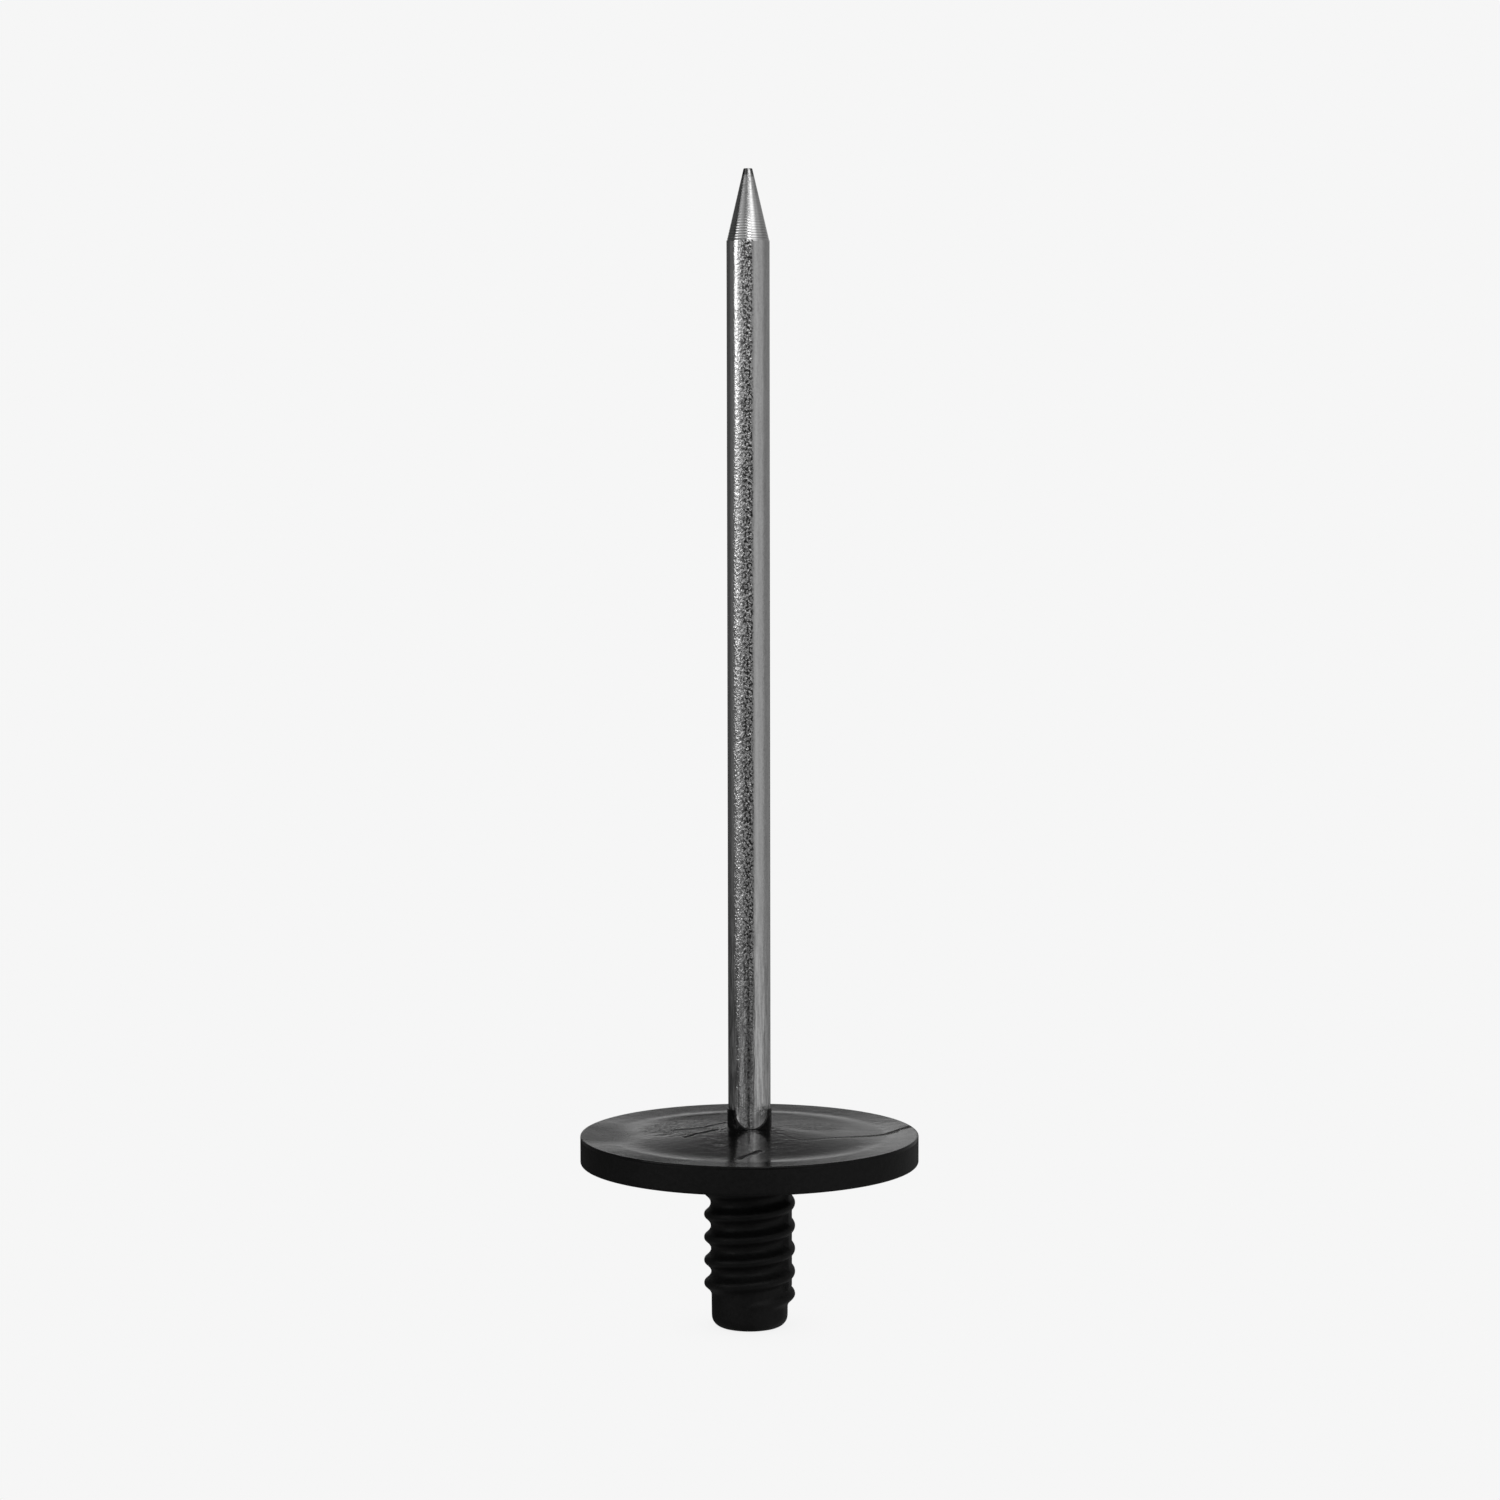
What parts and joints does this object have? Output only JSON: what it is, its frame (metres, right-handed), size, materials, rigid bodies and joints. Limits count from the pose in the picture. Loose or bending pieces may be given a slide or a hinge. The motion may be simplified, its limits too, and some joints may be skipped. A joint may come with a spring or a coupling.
{
  "type": "ground spike for a hollow post",
  "caption": "Pointed steel ground spike moulded into a black base: a round foot disc with a coarse threaded stub that screws into the end of a hollow post.",
  "frame": {"origin": "centre of the disc's underside, where the post's end seats", "axes": "+Z along the spike towards its point; the threaded stub hangs below, and its thread's full-height start lies on +X"},
  "size_m": [0.08, 0.08, 0.2723],
  "materials": {
    "spike_steel": "bright drawn rod with a fine orange-peel texture, the point turned",
    "base_rubber": "black, semi-gloss as moulded, with flow marks on the disc's upper face"
  },
  "bodies": {
    "root": {"steel_spike": "spike_steel", "moulded_base": "base_rubber"}
  },
  "joints": []
}
